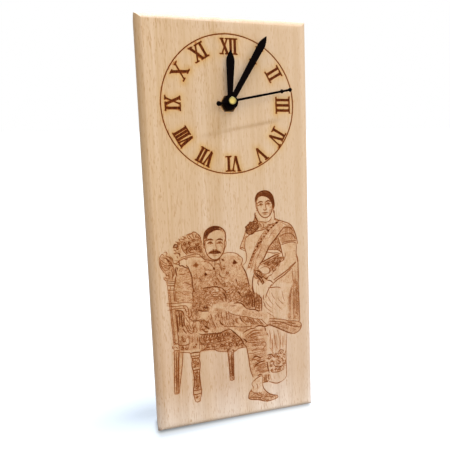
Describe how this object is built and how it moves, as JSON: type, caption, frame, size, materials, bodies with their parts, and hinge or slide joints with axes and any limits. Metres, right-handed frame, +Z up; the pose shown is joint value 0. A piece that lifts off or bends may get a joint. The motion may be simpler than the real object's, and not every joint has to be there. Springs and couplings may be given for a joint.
{
  "type": "engraved wooden clock",
  "caption": "Bevelled wooden board leaning on a rear peg, with an engraved dial and picture, three hands and a quartz movement in a rear pocket.",
  "frame": {"origin": "middle of the footprint, on the surface that the clock stands on", "axes": "+X to the right and +Z up as seen from the front; the engraved face looks towards -Y and leans back 9.4 degrees"},
  "size_m": [0.127, 0.081, 0.3033],
  "materials": {
    "beech": "sanded, laser engraved",
    "dowel": "sanded",
    "black_plastic": "moulded, satin",
    "white_plastic": "moulded acetal",
    "brass": "turned",
    "rubber": "matt",
    "steel": "plain",
    "copper_wire": "enamelled copper wire",
    "circuit_laminate": "green laminate",
    "chip_resin": "epoxy",
    "battery_sleeve": "printed sleeve, plain",
    "black_enamel": "black enamel"
  },
  "bodies": {
    "clock": {"board": "beech", "stand_peg": "dowel", "movement_case": "black_plastic", "movement_cover": "black_plastic", "middle_plate": "white_plastic", "shaft_bush": "brass", "rubber_gasket": "rubber", "brass_washer": "brass", "hex_nut": "brass", "stator": "steel", "coil_core": "steel", "coil_bobbin": "black_plastic", "coil_winding": "copper_wire", "circuit_board": "circuit_laminate", "chip_cover": "chip_resin", "quartz_crystal": "steel", "battery_cell": "battery_sleeve", "contact_plus": "brass", "contact_minus": "brass"},
    "second_train": {"second_arbor": "steel", "second_wheel": "white_plastic", "second_hand": "black_enamel", "second_cap": "brass"},
    "intermediate": {"intermediate_wheel": "white_plastic"},
    "rotor": {"rotor_pinion": "white_plastic", "rotor_magnet": "steel"},
    "third": {"third_wheel": "white_plastic"},
    "centre": {"centre_wheel": "brass"},
    "minute": {"minute_pipe": "brass", "minute_hand": "black_enamel"},
    "hour": {"hour_wheel": "white_plastic", "hour_hand": "black_enamel"},
    "motion": {"motion_wheel": "white_plastic"},
    "setting": {"set_wheel": "white_plastic", "set_knob": "white_plastic"}
  },
  "joints": [
    {"name": "second_turn", "type": "hinge", "parent": "clock", "child": "second_train", "pos_m": [0, 0.00845, 0.24131], "axis": [0, 0.9866, -0.1633], "continuous": true},
    {"name": "intermediate_turn", "type": "hinge", "parent": "clock", "child": "intermediate", "pos_m": [-0.0065, 0.00907, 0.24501], "axis": [0, 0.9866, -0.1633], "continuous": true},
    {"name": "rotor_turn", "type": "hinge", "parent": "clock", "child": "rotor", "pos_m": [-0.01, 0.01006, 0.251], "axis": [0, 0.9866, -0.1633], "continuous": true},
    {"name": "third_turn", "type": "hinge", "parent": "clock", "child": "third", "pos_m": [0.00691, 0.0094, 0.24703], "axis": [0, 0.9866, -0.1633], "continuous": true},
    {"name": "centre_turn", "type": "hinge", "parent": "clock", "child": "centre", "pos_m": [0, 0.00845, 0.24131], "axis": [0, 0.9866, -0.1633], "continuous": true},
    {"name": "minute_turn", "type": "hinge", "parent": "clock", "child": "minute", "pos_m": [0, 0.00845, 0.24131], "axis": [0, 0.9866, -0.1633], "continuous": true},
    {"name": "motion_turn", "type": "hinge", "parent": "clock", "child": "motion", "pos_m": [0.00705, 0.00804, 0.23878], "axis": [0, 0.9866, -0.1633], "continuous": true},
    {"name": "hour_turn", "type": "hinge", "parent": "clock", "child": "hour", "pos_m": [0, 0.00845, 0.24131], "axis": [0, 0.9866, -0.1633], "continuous": true},
    {"name": "setting_turn", "type": "hinge", "parent": "clock", "child": "setting", "pos_m": [0.01506, 0.00827, 0.24017], "axis": [0, 0.9866, -0.1633], "continuous": true}
  ],
  "couplings": [
    {"joint": "intermediate_turn", "follows": "second_turn", "ratio": -5},
    {"joint": "rotor_turn", "follows": "second_turn", "ratio": 30},
    {"joint": "third_turn", "follows": "second_turn", "ratio": -0.125},
    {"joint": "centre_turn", "follows": "second_turn", "ratio": 0.016667},
    {"joint": "motion_turn", "follows": "minute_turn", "ratio": -0.33333},
    {"joint": "hour_turn", "follows": "minute_turn", "ratio": 0.083333},
    {"joint": "setting_turn", "follows": "minute_turn", "ratio": 0.75}
  ]
}
